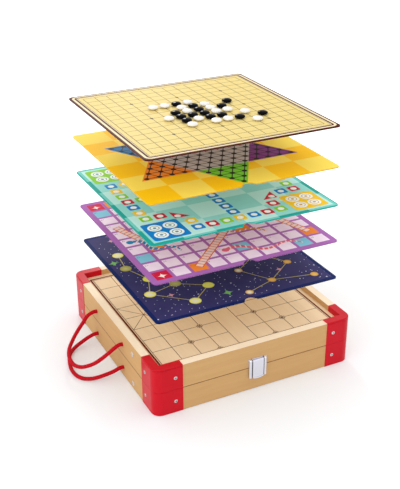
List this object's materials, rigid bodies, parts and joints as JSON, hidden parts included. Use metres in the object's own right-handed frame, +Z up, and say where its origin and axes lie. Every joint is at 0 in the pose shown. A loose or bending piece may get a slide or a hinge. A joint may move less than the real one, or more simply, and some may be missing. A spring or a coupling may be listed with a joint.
{
  "type": "games compendium box",
  "caption": "Hinged wooden games case with red corner guards, rope handles, latch, raised playing boards, stones and stored pieces.",
  "frame": {"origin": "middle of the case's footprint on the surface it stands on", "axes": "+Z up, front with the latch towards -Y, rope handles on the -X side"},
  "size_m": [0.3641, 0.3072, 0.3498],
  "materials": {
    "birch": "clear-lacquered pale wood, satin",
    "panel_wood": "pale plywood printed with a brown chess grid, satin",
    "batten_wood": "planed pale wood",
    "red_guard": "glossy red moulding",
    "steel": "bright nickel plate",
    "latch_metal": "polished nickel plate",
    "red_rope": "twisted red cord",
    "navy_board": "printed board, satin",
    "purple_board": "printed board, satin",
    "teal_board": "printed board, satin",
    "yellow_board": "printed board, satin",
    "cream_board": "printed board with a brown edge, satin",
    "black_stone": "opaque black, polished",
    "white_stone": "opaque white, polished",
    "disc_red": "turned wood with a red mark",
    "disc_black": "turned wood with a black mark",
    "pawn_red": "glossy lacquer",
    "pawn_yellow": "glossy lacquer",
    "pawn_green": "glossy lacquer",
    "pawn_blue": "glossy lacquer",
    "peg_paint": "glossy lacquer in six colours",
    "die_white": "ivory white with dark pips"
  },
  "bodies": {
    "lower_case": {"lower_front_wall": "birch", "lower_back_wall": "birch", "lower_left_wall": "birch", "lower_right_wall": "birch", "bottom_panel": "panel_wood", "lower_guard_front_left": "red_guard", "lower_guard_front_right": "red_guard", "lower_guard_back_left": "red_guard", "lower_guard_back_right": "red_guard", "lower_guard_screws": "steel", "lower_side_screws": "steel", "front_divider": "batten_wood", "back_divider": "batten_wood", "keeper": "steel", "keeper_screws": "steel", "left_hinge_lower_leaf": "steel", "right_hinge_lower_leaf": "steel", "left_hinge_pin": "steel", "right_hinge_pin": "steel", "lower_hinge_screws": "steel", "lower_rope": "red_rope", "lower_rope_knots": "red_rope", "red_discs": "disc_red", "black_discs": "disc_black", "red_pawns": "pawn_red", "yellow_pawns": "pawn_yellow", "green_pawns": "pawn_green", "blue_pawns": "pawn_blue", "star_pegs": "peg_paint", "dice": "die_white"},
    "upper_case": {"upper_front_wall": "birch", "upper_back_wall": "birch", "upper_left_wall": "birch", "upper_right_wall": "birch", "top_panel": "panel_wood", "upper_guard_front_left": "red_guard", "upper_guard_front_right": "red_guard", "upper_guard_back_left": "red_guard", "upper_guard_back_right": "red_guard", "upper_guard_screws": "steel", "upper_side_screws": "steel", "panel_battens": "batten_wood", "latch_base": "latch_metal", "latch_pin": "steel", "latch_screws": "steel", "left_hinge_upper_leaf": "steel", "right_hinge_upper_leaf": "steel", "upper_hinge_screws": "steel", "upper_rope": "red_rope", "upper_rope_knots": "red_rope"},
    "latch_lever": {"latch_lever": "latch_metal"},
    "constellation_board": {"constellation_board": "navy_board"},
    "ladder_board": {"ladder_board": "purple_board"},
    "ludo_board": {"ludo_board": "teal_board"},
    "star_board": {"star_board": "yellow_board"},
    "five_row_board": {"five_row_board": "cream_board"},
    "black_stones": {"black_stones": "black_stone"},
    "white_stones": {"white_stones": "white_stone"}
  },
  "joints": [
    {"name": "lid_hinge", "type": "hinge", "parent": "lower_case", "child": "upper_case", "pos_m": [0, 0.1516, 0.0355], "axis": [1, 0, 0], "range_deg": [-180, 0]},
    {"name": "latch_flip", "type": "hinge", "parent": "upper_case", "child": "latch_lever", "pos_m": [0, -0.1518, 0.04655], "axis": [1, 0, 0], "range_deg": [-120, 0]},
    {"name": "constellation_board_lift", "type": "slide", "parent": "upper_case", "child": "constellation_board", "axis": [-0.023, 0.034, 0.9992], "range_m": [-0.06505, 0]},
    {"name": "ladder_board_lift", "type": "slide", "parent": "constellation_board", "child": "ladder_board", "axis": [-0.023, 0.034, 0.9992], "range_m": [-0.05355, 0]},
    {"name": "ludo_board_lift", "type": "slide", "parent": "ladder_board", "child": "ludo_board", "axis": [-0.023, 0.034, 0.9992], "range_m": [-0.05054, 0]},
    {"name": "star_board_lift", "type": "slide", "parent": "ludo_board", "child": "star_board", "axis": [-0.023, 0.034, 0.9992], "range_m": [-0.05204, 0]},
    {"name": "five_row_board_lift", "type": "slide", "parent": "star_board", "child": "five_row_board", "axis": [-0.023, 0.034, 0.9992], "range_m": [-0.05304, 0]},
    {"name": "black_stones_lift", "type": "slide", "parent": "five_row_board", "child": "black_stones", "axis": [0, 0, 1], "range_m": [0, 0.02]},
    {"name": "white_stones_lift", "type": "slide", "parent": "five_row_board", "child": "white_stones", "axis": [0, 0, 1], "range_m": [0, 0.02]}
  ]
}
